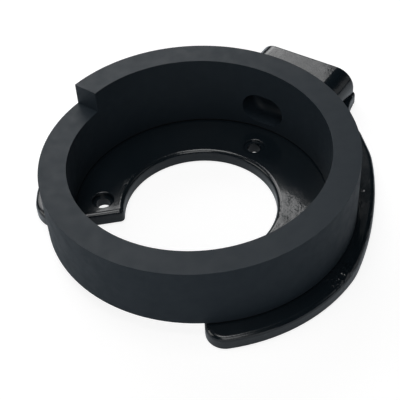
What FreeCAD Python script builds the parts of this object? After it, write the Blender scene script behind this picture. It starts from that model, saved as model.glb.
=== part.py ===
import FreeCAD, Part
import math
import os

# Floor flange with a helical-rim collar.
#
# A horseshoe-shaped cast-iron base plate lies on the floor. It has a round bore, three
# counterbored floor-screw holes and a low rounded boss at the back right. A thick collar
# stands on the plate on a flat gasket. Its top is one turn of a helix that ends in a
# vertical step, and a round-ended pocket is sunk in its inside wall in front of the boss.
# Countersunk screws come up from under the plate into threaded inserts in the collar's
# foot, and two dowel pins fix which way the step faces.
#
# Frame: origin on the bore axis, at floor level (the plate's underside). +Z is up, +X is
# to the right and +Y is to the back. Angles are counter-clockwise from +X. All in mm.

# ---- Base plate ----
PLATE_T = 9.5
PLATE_R = 111.8
BORE_R = 50.0
PLATE_EDGE_ROUND = 3.0
PLATE_FOOT_ROUND = 0.8

# The plate is missing its front left quarter. Both ends are cut nearly square, and the
# left side next to its end is flat.
FRONT_END_X = -2.4
LEFT_SIDE_X = -108.6
LEFT_SIDE_BLEND_R = 60.0
LEFT_END_POINT = (-51.6, -3.4)
LEFT_END_SLOPE = 0.118
FRONT_CORNER_R = 12.0
LEFT_CORNER_R = 21.0
BORE_CORNER_R = 3.2

# The right side of the plate is one long flat arc, and a straight run behind it.
LOBE_R = 225.0
LOBE_CENTRE = (-107.0, 41.5)
LOBE_X_MIN = 60.0
LOBE_Y = (-45.0, 70.0)
LOBE_SIDE_POINT = (117.1, 42.4)
LOBE_SIDE_SLOPE = -0.14
LOBE_BLEND_R = 60.0
SCALLOP_R = 40.0
SCALLOP_CENTRE = (150.4, 78.2)
SCALLOP_BLEND_R = 12.0

# ---- Boss: a loaf-shaped block, its long side square to this direction ----
BOSS_AZIMUTH = 54.0
BOSS_BACK = 152.2
BOSS_LEFT = -41.8
BOSS_RIGHT = 33.7
BOSS_TOP = 26.9
BOSS_LEFT_SHOULDER_R = 10.4
BOSS_RIGHT_SHOULDER_R = 14.0
BOSS_EDGE_ROUND = 1.6
BOSS_START = 60.0
BOSS_TO_COLLAR_GAP = 0.3
PAD_MARGIN = 1.8
PAD_CORNER_R = 4.0
PAD_BLEND_R = 12.0
BRIDGE_START = (60.0, 50.0)
BRIDGE_INSET = 4.0
CORE_WALL = 7.0
CORE_START = 108.7
CORE_CORNER_R = 6.0

# ---- Collar: its axis stands this far from the axis of the cast bore ----
COLLAR_AXIS = (0.9, 0.2)
COLLAR_R = 100.0
COLLAR_BORE_R = 82.6
GASKET_T = 1.0
COLLAR_FOOT_Z = PLATE_T + GASKET_T
RIM_HIGH = 53.3
RIM_DROP = 15.2
RIM_CUT_MARGIN = 4.0
RIM_CUT_HEADROOM = 10.0
STEP_ANGLE = 141.1
FOOT_OUTER_CHAMFER = 0.3
FOOT_INNER_CHAMFER = 0.4
POCKET_ANGLE = 55.7
POCKET_WIDTH = 30.6
POCKET_HEIGHT = 22.8
POCKET_MID_Z = COLLAR_FOOT_Z + 16.0
POCKET_END_R = 11.0
POCKET_DEPTH = 15.0
POCKET_BACK_ROUND = 5.0

# ---- Gasket ----
GASKET_INSET = 0.8

# ---- Floor-screw holes ----
FLOOR_PCD_R = 64.5
FLOOR_HOLES = {52.2: 1.3, 172.2: 3.3, 292.2: 3.3}  # angle: depth of the counterbore
FLOOR_HOLE_R = 4.75
FLOOR_CBORE_R = 6.9
FLOOR_LIP_ROUND = 0.9

# ---- Collar screws (M6 countersunk), inserts and dowels, all on one circle ----
FIX_R = 91.3
SCREW_ANGLES = (-78.0, -29.0, 20.0, 84.0, 128.0, 172.0)
SCREW_SHANK_R = 3.0
SCREW_HOLE_R = 3.3
SCREW_LENGTH = 20.0
SCREW_HEAD_R = 6.0
SCREW_HEAD_SINK = 0.3
SCREW_TIP_CHAMFER = 0.8
SCREW_HEAD_RIM = 0.3
HEX_ACROSS_FLATS = 4.0
HEX_DEPTH = 2.4
CSK_R = 6.4
INSERT_R = 4.0
INSERT_BORE_R = 3.05
INSERT_LENGTH = 12.7
INSERT_GROOVE_DEPTH = 0.5
INSERT_GROOVE_W = 1.4
INSERT_HOLE_R = 4.03
INSERT_HOLE_DEPTH = 15.0
DOWEL_ANGLES = (-53.0, 150.0)
DOWEL_R = 3.0
DOWEL_HOLE_R = 3.02
DOWEL_BOTTOM = 2.0
DOWEL_LENGTH = 20.0
DOWEL_CHAMFER = 0.6
DOWEL_HOLE_SPARE = 1.0
GASKET_HOLE_GAP = 0.2

UP = FreeCAD.Vector(0, 0, 1)
ORIGIN = FreeCAD.Vector(0, 0, 0)


def vec(x, y, z=0.0):
    return FreeCAD.Vector(x, y, z)


def on_circle(radius, degrees, z=0.0):
    angle = math.radians(degrees)
    return vec(radius * math.cos(angle), radius * math.sin(angle), z)


def fix_spot(degrees, z=0.0):
    """A spot on the circle of collar screws and dowels, which is round the collar's axis."""
    return vec(*COLLAR_AXIS) + on_circle(FIX_R, degrees, z)


def prism(points, z0, z1):
    corners = [vec(x, y, z0) for x, y in points]
    face = Part.Face(Part.makePolygon(corners + corners[:1]))
    return face.extrude(vec(0, 0, z1 - z0))


def cylinder(radius, z0, z1, centre=ORIGIN):
    return Part.makeCylinder(radius, z1 - z0, vec(centre.x, centre.y, z0), UP)


def revolved(profile, centre=ORIGIN):
    """Turn a closed (radius, z) profile about the vertical line through centre."""
    corners = [vec(r, 0, z) for r, z in profile]
    face = Part.Face(Part.makePolygon(corners + corners[:1]))
    solid = face.revolve(ORIGIN, UP, 360)
    solid.translate(vec(centre.x, centre.y))
    return solid


def vertical_edges_at(solid, spots, reach=1.5):
    """The upright edges of a solid that stand within reach of the given plan points."""
    found = []
    for edge in solid.Edges:
        if len(edge.Vertexes) != 2:
            continue
        low, high = (vertex.Point for vertex in edge.Vertexes)
        if math.hypot(low.x - high.x, low.y - high.y) > 1e-4:
            continue
        if any(math.hypot(low.x - x, low.y - y) < reach for x, y in spots):
            found.append(edge)
    return found


def edges_at_height(solid, z):
    flat = []
    for edge in solid.Edges:
        box = edge.BoundBox
        if abs(box.ZMin - z) < 1e-4 and abs(box.ZMax - z) < 1e-4:
            flat.append(edge)
    return flat


# Boss directions: OUT points away from the collar, ALONG runs along the boss.
OUT = on_circle(1.0, BOSS_AZIMUTH)
ALONG = vec(OUT.y, -OUT.x)


def boss_point(out, along, z=0.0):
    spot = OUT * out + ALONG * along
    return vec(spot.x, spot.y, z)


def boss_plan(out, along):
    spot = boss_point(out, along)
    return (spot.x, spot.y)


def left_end_y(x):
    return LEFT_END_POINT[1] + LEFT_END_SLOPE * (x - LEFT_END_POINT[0])


def left_side_corners():
    """Where the flat left side meets the straight left end, and the plate's outer circle."""
    end_corner = (LEFT_SIDE_X, left_end_y(LEFT_SIDE_X))
    circle_corner = (LEFT_SIDE_X, math.sqrt(PLATE_R**2 - LEFT_SIDE_X**2))
    return end_corner, circle_corner


def lobe_side_x(y):
    return LOBE_SIDE_POINT[0] + LOBE_SIDE_SLOPE * (y - LOBE_SIDE_POINT[1])


def make_plate_outline():
    """The plate as a plain slab: disc, lobe, boss pad and bridge, less bore and quarter."""
    arc = cylinder(LOBE_R, 0, PLATE_T, vec(*LOBE_CENTRE))
    disc = cylinder(PLATE_R, 0, PLATE_T).common(arc)
    lobe_window = prism(
        [
            (LOBE_X_MIN, LOBE_Y[0]),
            (lobe_side_x(LOBE_Y[0]), LOBE_Y[0]),
            (lobe_side_x(LOBE_Y[1]), LOBE_Y[1]),
            (LOBE_X_MIN, LOBE_Y[1]),
        ],
        0,
        PLATE_T,
    )
    lobe = arc.common(lobe_window)
    pad_left = BOSS_LEFT - PAD_MARGIN
    pad_right = BOSS_RIGHT + PAD_MARGIN
    pad_back = BOSS_BACK + PAD_MARGIN
    pad = prism(
        [
            boss_plan(BOSS_START, pad_left),
            boss_plan(BOSS_START, pad_right),
            boss_plan(pad_back, pad_right),
            boss_plan(pad_back, pad_left),
        ],
        0,
        PLATE_T,
    )
    bridge = prism(
        [
            BRIDGE_START,
            (lobe_side_x(LOBE_Y[1]), LOBE_Y[1]),
            boss_plan(BOSS_BACK - BRIDGE_INSET, pad_right),
            boss_plan(BOSS_START + BRIDGE_INSET, pad_right - 1.0),
        ],
        0,
        PLATE_T,
    )
    slab = disc.fuse([lobe, pad, bridge]).removeSplitter()
    scallop = cylinder(SCALLOP_R, -1, PLATE_T + 1, vec(*SCALLOP_CENTRE))
    slab = slab.cut(scallop)
    far = 2 * PLATE_R
    quarter = prism(
        [
            (FRONT_END_X, left_end_y(FRONT_END_X)),
            (-far, left_end_y(-far)),
            (-far, -far),
            (FRONT_END_X, -far),
        ],
        -1,
        PLATE_T + 1,
    )
    beyond_left_side = prism(
        [
            (LEFT_SIDE_X, -far),
            (LEFT_SIDE_X, far),
            (-far, far),
            (-far, -far),
        ],
        -1,
        PLATE_T + 1,
    )
    bore = cylinder(BORE_R, -1, PLATE_T + 1)
    return slab.cut([quarter, beyond_left_side, bore]).removeSplitter()


def disc_meets_arc():
    """Where the long arc leaves the plate's main circle, at the front right."""
    gap = math.hypot(*LOBE_CENTRE)
    along = (PLATE_R**2 - LOBE_R**2 + gap**2) / (2 * gap)
    across = math.sqrt(PLATE_R**2 - along**2)
    ux, uy = LOBE_CENTRE[0] / gap, LOBE_CENTRE[1] / gap
    spots = [(along * ux - k * across * uy, along * uy + k * across * ux) for k in (1, -1)]
    return min(spots, key=lambda spot: spot[1])


def side_meets_circle(centre, radius):
    """Where the lobe's straight side crosses a circle: its front and back crossings."""
    a = 1 + LOBE_SIDE_SLOPE**2
    offset = lobe_side_x(centre[1]) - centre[0]
    b = 2 * LOBE_SIDE_SLOPE * offset
    c = offset**2 - radius**2
    root = math.sqrt(b * b - 4 * a * c)
    ys = [centre[1] + (-b - root) / (2 * a), centre[1] + (-b + root) / (2 * a)]
    return [(lobe_side_x(y), y) for y in ys]


def bore_corners():
    """Where the plate's two cut ends meet its bore."""
    front = (FRONT_END_X, -math.sqrt(BORE_R**2 - FRONT_END_X**2))
    a = 1 + LEFT_END_SLOPE**2
    offset = left_end_y(0)
    b = 2 * LEFT_END_SLOPE * offset
    c = offset**2 - BORE_R**2
    x = (-b - math.sqrt(b * b - 4 * a * c)) / (2 * a)
    return [front, (x, left_end_y(x))]


def pad_meets_disc():
    """Where the boss pad's left side runs into the plate's main circle."""
    along = BOSS_LEFT - PAD_MARGIN
    return boss_plan(math.sqrt(PLATE_R**2 - along**2), along)


def make_plate_slab():
    """The outline with its upright corners and its top and bottom edges rounded."""
    slab = make_plate_outline()
    pad_back = BOSS_BACK + PAD_MARGIN
    front_corner = (FRONT_END_X, -math.sqrt(PLATE_R**2 - FRONT_END_X**2))
    end_corner, circle_corner = left_side_corners()
    rounds = [
        (PAD_CORNER_R, boss_plan(pad_back, BOSS_LEFT - PAD_MARGIN)),
        (PAD_CORNER_R, boss_plan(pad_back, BOSS_RIGHT + PAD_MARGIN)),
        (FRONT_CORNER_R, front_corner),
        (LEFT_CORNER_R, end_corner),
        (LEFT_SIDE_BLEND_R, circle_corner),
        (LOBE_BLEND_R, disc_meets_arc()),
        (LOBE_BLEND_R, side_meets_circle(LOBE_CENTRE, LOBE_R)[0]),
        (SCALLOP_BLEND_R, side_meets_circle(SCALLOP_CENTRE, SCALLOP_R)[0]),
        (PAD_BLEND_R, pad_meets_disc()),
    ]
    rounds += [(BORE_CORNER_R, corner) for corner in bore_corners()]
    for radius, spot in rounds:
        slab = slab.makeFillet(radius, vertical_edges_at(slab, [spot]))
    slab = slab.makeFillet(PLATE_EDGE_ROUND, edges_at_height(slab, PLATE_T))
    return slab.makeFillet(PLATE_FOOT_ROUND, edges_at_height(slab, 0))


def make_boss():
    """The loaf: a flat top with a round shoulder at each end, run outwards from the collar."""
    left = BOSS_LEFT
    right = BOSS_RIGHT
    r_left = BOSS_LEFT_SHOULDER_R
    r_right = BOSS_RIGHT_SHOULDER_R
    half = math.sqrt(0.5)
    base = PLATE_FOOT_ROUND

    def spot(along, z):
        return boss_point(BOSS_START, along, z)

    outline = [
        Part.makeLine(spot(left, base), spot(left, BOSS_TOP - r_left)),
        Part.Arc(
            spot(left, BOSS_TOP - r_left),
            spot(left + r_left * (1 - half), BOSS_TOP - r_left * (1 - half)),
            spot(left + r_left, BOSS_TOP),
        ).toShape(),
        Part.makeLine(spot(left + r_left, BOSS_TOP), spot(right - r_right, BOSS_TOP)),
        Part.Arc(
            spot(right - r_right, BOSS_TOP),
            spot(right - r_right * (1 - half), BOSS_TOP - r_right * (1 - half)),
            spot(right, BOSS_TOP - r_right),
        ).toShape(),
        Part.makeLine(spot(right, BOSS_TOP - r_right), spot(right, base)),
        Part.makeLine(spot(right, base), spot(left, base)),
    ]
    block = Part.Face(Part.Wire(outline)).extrude(OUT * (BOSS_BACK - BOSS_START))
    back_edges = []
    for edge in block.Edges:
        middle = edge.valueAt((edge.FirstParameter + edge.LastParameter) / 2)
        if abs(middle.dot(OUT) - BOSS_BACK) < 1e-3 and middle.z > base + 0.1:
            back_edges.append(edge)
    block = block.makeFillet(BOSS_EDGE_ROUND, back_edges)
    room_r = COLLAR_R + BOSS_TO_COLLAR_GAP
    collar_room = cylinder(room_r, PLATE_T, BOSS_TOP + 1, vec(*COLLAR_AXIS))
    return block.cut(collar_room)


def make_boss_core():
    """The hollow left under the boss by its sand core, open at the floor."""
    left = BOSS_LEFT + CORE_WALL
    right = BOSS_RIGHT - CORE_WALL
    back = BOSS_BACK - CORE_WALL
    plan = [
        boss_plan(CORE_START, left),
        boss_plan(CORE_START, right),
        boss_plan(back, right),
        boss_plan(back, left),
    ]
    core = prism(plan, -1, BOSS_TOP - CORE_WALL)
    return core.makeFillet(CORE_CORNER_R, vertical_edges_at(core, plan))


def make_floor_hole_cutter(angle, depth):
    """A floor-screw hole: a through hole under a counterbore with a rounded lip."""
    lip = FLOOR_LIP_ROUND
    half = math.sqrt(0.5)
    top = PLATE_T
    seat = PLATE_T - depth
    wide = FLOOR_CBORE_R
    edges = [
        Part.makeLine(vec(0, 0, -1), vec(FLOOR_HOLE_R, 0, -1)),
        Part.makeLine(vec(FLOOR_HOLE_R, 0, -1), vec(FLOOR_HOLE_R, 0, seat)),
        Part.makeLine(vec(FLOOR_HOLE_R, 0, seat), vec(wide, 0, seat)),
        Part.makeLine(vec(wide, 0, seat), vec(wide, 0, top - lip)),
        Part.Arc(
            vec(wide, 0, top - lip),
            vec(wide + lip * (1 - half), 0, top - lip * (1 - half)),
            vec(wide + lip, 0, top),
        ).toShape(),
        Part.makeLine(vec(wide + lip, 0, top), vec(wide + lip, 0, top + 1)),
        Part.makeLine(vec(wide + lip, 0, top + 1), vec(0, 0, top + 1)),
        Part.makeLine(vec(0, 0, top + 1), vec(0, 0, -1)),
    ]
    cutter = Part.Face(Part.Wire(edges)).revolve(ORIGIN, UP, 360)
    cutter.translate(on_circle(FLOOR_PCD_R, angle))
    return cutter


def make_screw_hole_cutter(angle):
    """A countersunk clearance hole for a collar screw, sunk from the underside."""
    depth = CSK_R - SCREW_HOLE_R
    profile = [
        (0, -1),
        (CSK_R, -1),
        (CSK_R, 0),
        (SCREW_HOLE_R, depth),
        (SCREW_HOLE_R, PLATE_T + 1),
        (0, PLATE_T + 1),
    ]
    return revolved(profile, fix_spot(angle))


def make_base_plate():
    plate = make_plate_slab().fuse(make_boss())
    cutters = [make_boss_core()]
    cutters += [make_floor_hole_cutter(angle, depth) for angle, depth in FLOOR_HOLES.items()]
    cutters += [make_screw_hole_cutter(angle) for angle in SCREW_ANGLES]
    for angle in DOWEL_ANGLES:
        cutters.append(cylinder(DOWEL_HOLE_R, DOWEL_BOTTOM, PLATE_T + 1, fix_spot(angle)))
    return plate.cut(cutters)


def make_rim_cutter(start, stop, z_start, z_stop):
    """The space above a stretch of the helical rim, from one angle to another."""
    turn = math.radians(stop - start)
    rise = z_stop - z_start
    pitch = abs(rise) * 2 * math.pi / turn
    inner_r = COLLAR_BORE_R - RIM_CUT_MARGIN
    outer_r = COLLAR_R + RIM_CUT_MARGIN
    rails = []
    for radius in (inner_r, outer_r):
        rail = Part.makeHelix(pitch, abs(rise), radius)
        rails.append(rail.Edges[0])
    ramp = Part.makeRuledSurface(rails[0], rails[1])
    ramp.rotate(ORIGIN, UP, start)
    ramp.translate(UP * z_start)
    return ramp.extrude(UP * (RIM_DROP + RIM_CUT_HEADROOM))


def make_collar():
    """The collar: a thick ring whose top climbs one turn and drops down a vertical step.

    Seen from above the rim falls clockwise from the top of the step, so counter-clockwise
    it climbs from the foot of the step at STEP_ANGLE round to the top of it.
    """
    foot = COLLAR_FOOT_Z
    high = foot + RIM_HIGH
    low = high - RIM_DROP
    ring = revolved(
        [
            (COLLAR_BORE_R + FOOT_INNER_CHAMFER, foot),
            (COLLAR_R - FOOT_OUTER_CHAMFER, foot),
            (COLLAR_R, foot + FOOT_OUTER_CHAMFER),
            (COLLAR_R, high),
            (COLLAR_BORE_R, high),
            (COLLAR_BORE_R, foot + FOOT_INNER_CHAMFER),
        ]
    )
    stretches = 3
    cutters = []
    for k in range(stretches):
        a0 = STEP_ANGLE + 360.0 * k / stretches
        a1 = STEP_ANGLE + 360.0 * (k + 1) / stretches
        z0 = low + RIM_DROP * k / stretches
        z1 = low + RIM_DROP * (k + 1) / stretches
        cutters.append(make_rim_cutter(a0, a1, z0, z1))
    cutters.append(make_pocket_cutter())
    insert_top = foot + INSERT_HOLE_DEPTH
    for angle in SCREW_ANGLES:
        cutters.append(cylinder(INSERT_HOLE_R, foot - 1, insert_top, on_circle(FIX_R, angle)))
    dowel_top = DOWEL_BOTTOM + DOWEL_LENGTH + DOWEL_HOLE_SPARE
    for angle in DOWEL_ANGLES:
        cutters.append(cylinder(DOWEL_HOLE_R, foot - 1, dowel_top, on_circle(FIX_R, angle)))
    for cutter in cutters:
        ring = ring.cut(cutter)
    ring.translate(vec(*COLLAR_AXIS))
    return ring


def make_pocket_cutter():
    """A round-ended blind pocket, sunk straight outwards in the collar's inside wall."""
    start = COLLAR_BORE_R / 2
    back = COLLAR_BORE_R + POCKET_DEPTH
    block = Part.makeBox(back - start, POCKET_WIDTH, POCKET_HEIGHT)
    block.translate(vec(start, -POCKET_WIDTH / 2, POCKET_MID_Z - POCKET_HEIGHT / 2))
    corners = [edge for edge in block.Edges if edge.BoundBox.XLength > 1]
    block = block.makeFillet(POCKET_END_R, corners)
    back_edges = [edge for edge in block.Edges if edge.BoundBox.XMin > back - 0.01]
    block = block.makeFillet(POCKET_BACK_ROUND, back_edges)
    block.rotate(ORIGIN, UP, POCKET_ANGLE)
    return block


def make_gasket():
    """A flat gasket the shape of the plate's stretch of the collar's foot."""
    inner = COLLAR_BORE_R + GASKET_INSET
    outer = COLLAR_R - GASKET_INSET
    axis = vec(*COLLAR_AXIS)
    below = PLATE_T - 1
    above = COLLAR_FOOT_Z + 1
    ring = cylinder(outer, PLATE_T, COLLAR_FOOT_Z, axis).cut(cylinder(inner, below, above, axis))
    far = 2 * PLATE_R
    inset = PLATE_EDGE_ROUND
    gap_x = FRONT_END_X + inset
    quarter = prism(
        [
            (gap_x, left_end_y(gap_x) + inset),
            (-far, left_end_y(-far) + inset),
            (-far, -far),
            (gap_x, -far),
        ],
        below,
        above,
    )
    ring = ring.cut(quarter)
    for angle in SCREW_ANGLES:
        ring = ring.cut(cylinder(INSERT_R + GASKET_HOLE_GAP, below, above, fix_spot(angle)))
    for angle in DOWEL_ANGLES:
        ring = ring.cut(cylinder(DOWEL_R + GASKET_HOLE_GAP, below, above, fix_spot(angle)))
    return ring


def make_screw():
    """An M6 countersunk socket screw, head down, with its head's face at z = 0."""
    head_depth = SCREW_HEAD_R - SCREW_SHANK_R
    tip = SCREW_TIP_CHAMFER
    profile = [
        (0, 0),
        (SCREW_HEAD_R - SCREW_HEAD_RIM, 0),
        (SCREW_HEAD_R, SCREW_HEAD_RIM),
        (SCREW_SHANK_R, SCREW_HEAD_RIM + head_depth),
        (SCREW_SHANK_R, SCREW_LENGTH - tip),
        (SCREW_SHANK_R - tip, SCREW_LENGTH),
        (0, SCREW_LENGTH),
    ]
    corner_r = HEX_ACROSS_FLATS / math.sqrt(3)
    corners = [on_circle(corner_r, 60 * k) for k in range(6)]
    socket = prism([(corner.x, corner.y) for corner in corners], -1, HEX_DEPTH)
    return revolved(profile).cut(socket)


def make_insert():
    """A threaded insert: a brass bush with two grooves that the moulding grips."""
    deep = INSERT_R - INSERT_GROOVE_DEPTH
    third = INSERT_LENGTH / 3
    w = INSERT_GROOVE_W / 2
    profile = [(INSERT_BORE_R, 0), (INSERT_R, 0)]
    for k in (1, 2):
        middle = third * k
        profile += [
            (INSERT_R, middle - w),
            (deep, middle - w),
            (deep, middle + w),
            (INSERT_R, middle + w),
        ]
    profile += [(INSERT_R, INSERT_LENGTH), (INSERT_BORE_R, INSERT_LENGTH)]
    return revolved(profile)


def make_dowel():
    chamfer = DOWEL_CHAMFER
    profile = [
        (0, 0),
        (DOWEL_R - chamfer, 0),
        (DOWEL_R, chamfer),
        (DOWEL_R, DOWEL_LENGTH - chamfer),
        (DOWEL_R - chamfer, DOWEL_LENGTH),
        (0, DOWEL_LENGTH),
    ]
    return revolved(profile)


def ring_of(piece, angles, z):
    """Copies of one piece round the fixing circle, each turned to face outwards."""
    copies = []
    for angle in angles:
        copy = piece.copy()
        copy.rotate(ORIGIN, UP, angle)
        copy.translate(fix_spot(angle, z))
        copies.append(copy)
    return Part.makeCompound(copies)


nodes = {
    "base_plate": make_base_plate(),
    "collar": make_collar(),
    "collar_gasket": make_gasket(),
    "collar_screws": ring_of(make_screw(), SCREW_ANGLES, SCREW_HEAD_SINK),
    "collar_inserts": ring_of(make_insert(), SCREW_ANGLES, COLLAR_FOOT_Z),
    "dowel_pins": ring_of(make_dowel(), DOWEL_ANGLES, DOWEL_BOTTOM),
}

os.makedirs("parts", exist_ok=True)
for name, shape in nodes.items():
    shape.exportStep(os.path.join("parts", name + ".step"))
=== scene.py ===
import math

import bpy
from mathutils import Matrix, Vector


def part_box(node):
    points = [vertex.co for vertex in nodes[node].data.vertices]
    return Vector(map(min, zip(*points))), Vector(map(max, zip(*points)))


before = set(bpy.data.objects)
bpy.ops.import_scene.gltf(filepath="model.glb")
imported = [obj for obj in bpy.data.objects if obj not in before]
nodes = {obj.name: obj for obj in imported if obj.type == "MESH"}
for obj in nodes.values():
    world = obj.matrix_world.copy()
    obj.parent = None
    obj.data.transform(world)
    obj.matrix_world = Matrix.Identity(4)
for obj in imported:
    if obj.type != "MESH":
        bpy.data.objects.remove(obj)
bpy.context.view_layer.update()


# ---------------------------------------------------------------- node helpers
# Nearly all of a noise's values lie between these two.
NOISE_LOW = 0.3
NOISE_HIGH = 0.7
REFRACTIVE_INDEX = 1.5


class Builder:
    """Adds shader nodes to one material and links them in a line or two each.

    The scale of a noise is in cycles per metre, and the depth of a bump is in metres.
    """

    def __init__(self, name):
        self.material = bpy.data.materials.new(name)
        self.material.use_nodes = True
        self.tree = self.material.node_tree
        self.tree.nodes.clear()
        self.output = self.add("ShaderNodeOutputMaterial")
        self.coords = self.add("ShaderNodeTexCoord").outputs["Object"]

    def add(self, kind, **settings):
        node = self.tree.nodes.new(kind)
        for key, value in settings.items():
            setattr(node, key, value)
        return node

    def join(self, source, target):
        self.tree.links.new(source, target)

    def set(self, socket, value):
        """Feeds a socket from another socket, a colour or a number."""
        if isinstance(value, bpy.types.NodeSocket):
            self.join(value, socket)
        elif isinstance(value, tuple):
            socket.default_value = (*value, 1.0)
        else:
            socket.default_value = value

    def noise(self, scale, detail=2.0, roughness=0.5, distortion=0.0):
        node = self.add("ShaderNodeTexNoise")
        node.inputs["Scale"].default_value = scale
        node.inputs["Detail"].default_value = detail
        node.inputs["Roughness"].default_value = roughness
        node.inputs["Distortion"].default_value = distortion
        self.join(self.coords, node.inputs["Vector"])
        return node.outputs["Fac"]

    def cells(self, scale):
        """The distance to the nearest of many scattered points, in cells."""
        node = self.add("ShaderNodeTexVoronoi")
        node.inputs["Scale"].default_value = scale
        self.join(self.coords, node.inputs["Vector"])
        return node.outputs["Distance"]

    def distance_from(self, spot):
        node = self.add("ShaderNodeVectorMath", operation="DISTANCE")
        self.join(self.coords, node.inputs[0])
        node.inputs[1].default_value = spot
        return node.outputs["Value"]

    def math(self, operation, a, b=0.0):
        node = self.add("ShaderNodeMath", operation=operation)
        self.set(node.inputs[0], a)
        self.set(node.inputs[1], b)
        return node.outputs[0]

    def radius_and_height(self):
        """The distance from the vertical axis, and the height above the floor."""
        parts = self.add("ShaderNodeSeparateXYZ")
        self.join(self.coords, parts.inputs[0])
        squares = [self.math("POWER", parts.outputs[axis], 2.0) for axis in "XY"]
        return self.math("SQRT", self.math("ADD", *squares)), parts.outputs["Z"]

    def ramp(self, value, start, end, at_start=0.0, at_end=1.0, curve="SMOOTHSTEP"):
        """Goes from at_start to at_end as the value goes from start to end."""
        node = self.add("ShaderNodeMapRange", interpolation_type=curve)
        self.set(node.inputs["Value"], value)
        node.inputs["From Min"].default_value = start
        node.inputs["From Max"].default_value = end
        node.inputs["To Min"].default_value = at_start
        node.inputs["To Max"].default_value = at_end
        return node.outputs["Result"]

    def spread(self, noise, low, high):
        """Stretches a noise evenly between two values."""
        return self.ramp(noise, NOISE_LOW, NOISE_HIGH, low, high, curve="LINEAR")

    def mix(self, factor, a, b):
        node = self.add("ShaderNodeMix", data_type="RGBA")
        self.set(node.inputs["Factor"], factor)
        self.set(node.inputs["A"], a)
        self.set(node.inputs["B"], b)
        return node.outputs["Result"]

    def bump(self, height, depth, strength, before=None):
        """Adds relief of the given depth on top of the relief before it."""
        node = self.add("ShaderNodeBump")
        node.inputs["Strength"].default_value = strength
        node.inputs["Distance"].default_value = depth
        self.join(height, node.inputs["Height"])
        if before is not None:
            self.join(before, node.inputs["Normal"])
        return node.outputs["Normal"]

    def matt(self, color):
        node = self.add("ShaderNodeBsdfDiffuse")
        self.set(node.inputs["Color"], color)
        return node.outputs[0]

    def surface(
        self, color, roughness, normal, metallic=0.0, specular=0.5, coat=0.0, coat_roughness=0.05
    ):
        """One glossy or matt surface, with an optional clear coat over it."""
        shader = self.add("ShaderNodeBsdfPrincipled")
        self.set(shader.inputs["Base Color"], color)
        self.set(shader.inputs["Roughness"], roughness)
        self.set(shader.inputs["Metallic"], metallic)
        self.set(shader.inputs["IOR"], REFRACTIVE_INDEX)
        self.set(shader.inputs["Specular IOR Level"], specular)
        self.set(shader.inputs["Coat Weight"], coat)
        self.set(shader.inputs["Coat Roughness"], coat_roughness)
        self.join(normal, shader.inputs["Normal"])
        self.join(normal, shader.inputs["Coat Normal"])
        self.join(shader.outputs["BSDF"], self.output.inputs["Surface"])
        return self.material


# ---------------------------------------------------------------- materials
# The paint is lumpy on the plate inside the collar and calmer from the collar's wall outwards.
LUMPY_R = 0.070
CALM_R = 0.084
CALM_SHARE = 0.18

# A patch of rough casting shows through the paint here, on the flange at the front right.
ROUGH_SPOT = (0.0790, -0.0680, 0.0095)
ROUGH_SPOT_R = 0.006
ROUGH_SPOT_FADE_R = 0.013

# Raised pips in the paint stand on scattered points. Their radius is a share of the spacing.
PIPS_PER_METRE = 95.0
PIP_R = 0.13

# Machined rings on the collar, from one ring to the next.
TOOL_RING_PITCH = 0.00042


def make_gloss_paint():
    """Thick gloss black paint on a rough iron casting."""
    b = Builder("gloss_black_paint")
    radius, _ = b.radius_and_height()
    inside = b.ramp(radius, LUMPY_R, CALM_R, at_start=1.0, at_end=CALM_SHARE)
    patches = b.ramp(b.noise(16.0, detail=1.0), start=0.55, end=0.72)
    lumps = b.noise(85.0, detail=4.0, roughness=0.6, distortion=1.2)
    lumps = b.math("MULTIPLY", b.math("MULTIPLY", lumps, patches), inside)
    peel = b.noise(330.0, roughness=0.55)
    stipple = b.noise(720.0)
    away = b.distance_from(ROUGH_SPOT)
    spot = b.ramp(away, ROUGH_SPOT_R, ROUGH_SPOT_FADE_R, at_start=1.0, at_end=0.0)
    roughcast = b.math("MULTIPLY", b.noise(300.0, detail=1.0), spot)
    pips = b.ramp(b.cells(PIPS_PER_METRE), 0.0, PIP_R, at_start=1.0, at_end=0.0)
    normal = b.bump(b.noise(38.0), depth=0.0010, strength=0.5)
    normal = b.bump(lumps, depth=0.0012, strength=0.5, before=normal)
    normal = b.bump(peel, depth=0.00011, strength=0.5, before=normal)
    normal = b.bump(stipple, depth=0.00006, strength=0.45, before=normal)
    normal = b.bump(roughcast, depth=0.0016, strength=0.7, before=normal)
    normal = b.bump(pips, depth=0.0003, strength=0.4, before=normal)
    color = b.mix(b.noise(55.0, detail=3.0), (0.0060, 0.0104, 0.0144), (0.0102, 0.0158, 0.0206))
    roughness = b.spread(b.noise(70.0, detail=4.0), 0.17, 0.27)
    return b.surface(color, roughness, normal, coat=0.55, coat_roughness=0.09)


def make_polyamide():
    """Machined matt black polyamide with faint tool rings and a dusty bloom."""
    b = Builder("matt_black_polyamide")
    radius, height = b.radius_and_height()
    turns = b.math("MULTIPLY", b.math("ADD", radius, height), 2 * math.pi / TOOL_RING_PITCH)
    rings = b.math("SINE", turns)
    normal = b.bump(rings, depth=0.000006, strength=0.35)
    normal = b.bump(b.noise(2600.0), depth=0.00005, strength=0.35, before=normal)
    bloom = b.noise(48.0, detail=4.0, roughness=0.6)
    color = b.mix(bloom, (0.0122, 0.0212, 0.0302), (0.0150, 0.0248, 0.0346))
    roughness = b.spread(b.noise(140.0, detail=5.0), 0.50, 0.62)
    return b.surface(color, roughness, normal, specular=0.42)


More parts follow.
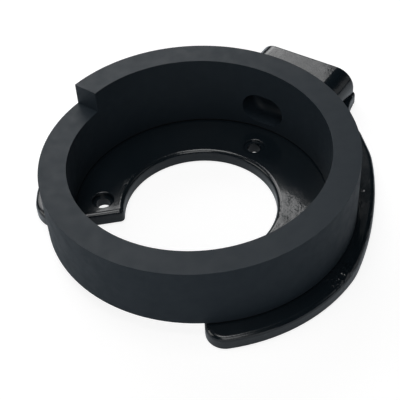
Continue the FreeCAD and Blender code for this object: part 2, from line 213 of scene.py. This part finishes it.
def make_rubber():
    """Flat black sheet rubber."""
    b = Builder("gasket_sheet_rubber")
    normal = b.bump(b.noise(1500.0, detail=3.0), depth=0.00006, strength=0.5)
    color = b.mix(b.noise(60.0, detail=3.0), (0.008, 0.008, 0.008), (0.016, 0.016, 0.015))
    roughness = b.spread(b.noise(300.0), 0.75, 0.9)
    return b.surface(color, roughness, normal, specular=0.3)


def make_zinc():
    """Zinc-plated steel with a faint yellow tint and fine scuffs."""
    b = Builder("zinc_plated_steel")
    scuffs = b.noise(900.0, detail=4.0, roughness=0.65)
    normal = b.bump(scuffs, depth=0.00003, strength=0.4)
    color = b.mix(b.noise(160.0, detail=3.0), (0.52, 0.53, 0.54), (0.66, 0.64, 0.58))
    roughness = b.spread(scuffs, 0.24, 0.42)
    return b.surface(color, roughness, normal, metallic=1.0)


def make_brass():
    """Turned brass with a fine grain."""
    b = Builder("turned_brass")
    normal = b.bump(b.noise(2400.0), depth=0.00002, strength=0.4)
    color = b.mix(b.noise(220.0, detail=3.0), (0.72, 0.50, 0.20), (0.82, 0.62, 0.30))
    roughness = b.spread(b.noise(500.0), 0.22, 0.38)
    return b.surface(color, roughness, normal, metallic=1.0)


def make_ground_steel():
    """Bright ground steel with a very fine grain."""
    b = Builder("ground_steel")
    normal = b.bump(b.noise(3200.0), depth=0.000012, strength=0.4)
    color = b.mix(b.noise(260.0, detail=3.0), (0.46, 0.47, 0.49), (0.60, 0.61, 0.62))
    roughness = b.spread(b.noise(800.0), 0.14, 0.26)
    return b.surface(color, roughness, normal, metallic=1.0)


finishes = {
    "base_plate": make_gloss_paint(),
    "collar": make_polyamide(),
    "collar_gasket": make_rubber(),
    "collar_screws": make_zinc(),
    "collar_inserts": make_brass(),
    "dowel_pins": make_ground_steel(),
}
for name, material in finishes.items():
    piece = nodes[name]
    piece.data.materials.clear()
    piece.data.materials.append(material)


# ---------------------------------------------------------------- studio
FLOOR_SIZE = 8.0
# Just below the plate's underside.
FLOOR_Z = -0.0004
# The first pair of tones lights the object. The lens sees the second pair, with the glow added.
FLOOR_TONES = ((0.69, 0.74, 0.79), (0.72, 0.77, 0.82))
FLOOR_SEEN_TONES = ((0.33, 0.33, 0.33), (0.35, 0.35, 0.35))
FLOOR_GLOW = 0.84

WHITE = (1.0, 1.0, 1.0)
WARM = (1.0, 0.98, 0.95)

# Strips of the big soft box behind the object: name, left and right in metres,
# lowest and highest in degrees above the floor, radiance.
BACK_DISTANCE = 1.2
BACK_STRIPS = (
    ("back_low", -0.45, 0.20, 20, 32, 3.0),
    ("back_middle", -0.45, 0.27, 32, 39.5, 1.9),
    ("back_high", -0.45, 0.18, 40, 52, 3.1),
    ("back_left", -1.0, -0.45, 25, 55, 1.9),
)

# The other soft boxes: name, place, aim, width, depth, radiance, tint.
SOFT_BOXES = (
    ("overhead", (-0.2, 0.0, 1.5), (-0.2, 0.0, 0.0), 0.8, 0.8, 2.8, WHITE),
    ("front", (0.0, -1.2, 1.2), (0.0, 0.0, 0.0), 1.0, 1.0, 1.5, WHITE),
    ("front_card", (0.0, -1.3, 0.22), (0.0, 0.0, 0.03), 1.8, 0.4, 0.5, WHITE),
    ("left_side", (-1.4, 0.0, 0.6), (0.0, 0.0, 0.0), 0.9, 0.9, 1.35, WARM),
    ("right_side", (1.4, 0.0, 0.6), (0.0, 0.0, 0.0), 0.9, 0.9, 0.3, WHITE),
)


def make_floor():
    """A matt pale floor. The lens sees it near-white with a faint shadow, like a light table;
    the object sees a plain matt floor, slightly cool."""
    bpy.ops.mesh.primitive_plane_add(size=FLOOR_SIZE, location=(0, 0, FLOOR_Z))
    floor = bpy.context.object
    floor.name = "studio_floor"
    b = Builder("studio_floor_pale")
    cloud = b.noise(3.0)
    glow = b.add("ShaderNodeEmission")
    glow.inputs["Strength"].default_value = FLOOR_GLOW
    seen = b.add("ShaderNodeAddShader")
    b.join(b.matt(b.mix(cloud, *FLOOR_SEEN_TONES)), seen.inputs[0])
    b.join(glow.outputs[0], seen.inputs[1])
    chosen = b.add("ShaderNodeMixShader")
    b.join(b.add("ShaderNodeLightPath").outputs["Is Camera Ray"], chosen.inputs[0])
    b.join(b.matt(b.mix(cloud, *FLOOR_TONES)), chosen.inputs[1])
    b.join(seen.outputs[0], chosen.inputs[2])
    b.join(chosen.outputs[0], b.output.inputs["Surface"])
    floor.data.materials.append(b.material)


def make_soft_box(name, place, aim, width, depth, radiance, tint=WHITE):
    """A soft box whose face has the given radiance, whatever its size."""
    light = bpy.data.lights.new(name, "AREA")
    light.shape = "RECTANGLE"
    light.size = width
    light.size_y = depth
    light.energy = radiance * width * depth * math.pi
    light.color = tint
    lamp = bpy.data.objects.new(name, light)
    lamp.location = place
    lamp.rotation_mode = "QUATERNION"
    lamp.rotation_quaternion = (Vector(aim) - Vector(place)).to_track_quat("-Z", "Y")
    bpy.context.scene.collection.objects.link(lamp)


def make_back_strip(name, left, right, low, high, radiance):
    """A strip of the soft box behind the object, faced straight at it."""
    tilt = math.radians((low + high) / 2)
    across = (left + right) / 2
    place = (across, BACK_DISTANCE * math.cos(tilt), BACK_DISTANCE * math.sin(tilt))
    height = BACK_DISTANCE * math.radians(high - low)
    make_soft_box(name, place, (across, 0, 0), right - left, height, radiance)


make_floor()
for strip in BACK_STRIPS:
    make_back_strip(*strip)
for box in SOFT_BOXES:
    make_soft_box(*box)


# ---------------------------------------------------------------- camera
# The camera looks down and back at the middle of the collar's foot. Its distance and its
# shifts are in outside radii of the collar.
ELEVATION = math.radians(44.8118)
ROLL = math.radians(-3.9166)
SHIFT_RIGHT = 0.01074
SHIFT_UP = -0.00742
DISTANCE = 6.2541
SENSOR_WIDTH_MM = 36.0
LENS_MM = 86.605
NEAREST = 0.01
FURTHEST = 50.0


def make_camera():
    low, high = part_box("collar")
    collar_r = (high.x - low.x) / 2
    foot_middle = Vector(((low.x + high.x) / 2, (low.y + high.y) / 2, low.z))
    forward = Vector((0, math.cos(ELEVATION), -math.sin(ELEVATION)))
    level = Vector((1, 0, 0))
    upward = level.cross(forward)
    right = math.cos(ROLL) * level + math.sin(ROLL) * upward
    up = -math.sin(ROLL) * level + math.cos(ROLL) * upward
    place = foot_middle - collar_r * (SHIFT_RIGHT * right + SHIFT_UP * up + DISTANCE * forward)
    data = bpy.data.cameras.new("camera")
    data.sensor_width = SENSOR_WIDTH_MM
    data.lens = LENS_MM
    data.clip_start = NEAREST
    data.clip_end = FURTHEST
    camera = bpy.data.objects.new("camera", data)
    turn = Matrix((right, up, -forward)).transposed()
    camera.matrix_world = Matrix.Translation(place) @ turn.to_4x4()
    bpy.context.scene.collection.objects.link(camera)
    bpy.context.scene.camera = camera


make_camera()
bpy.context.scene.view_settings.view_transform = "Standard"
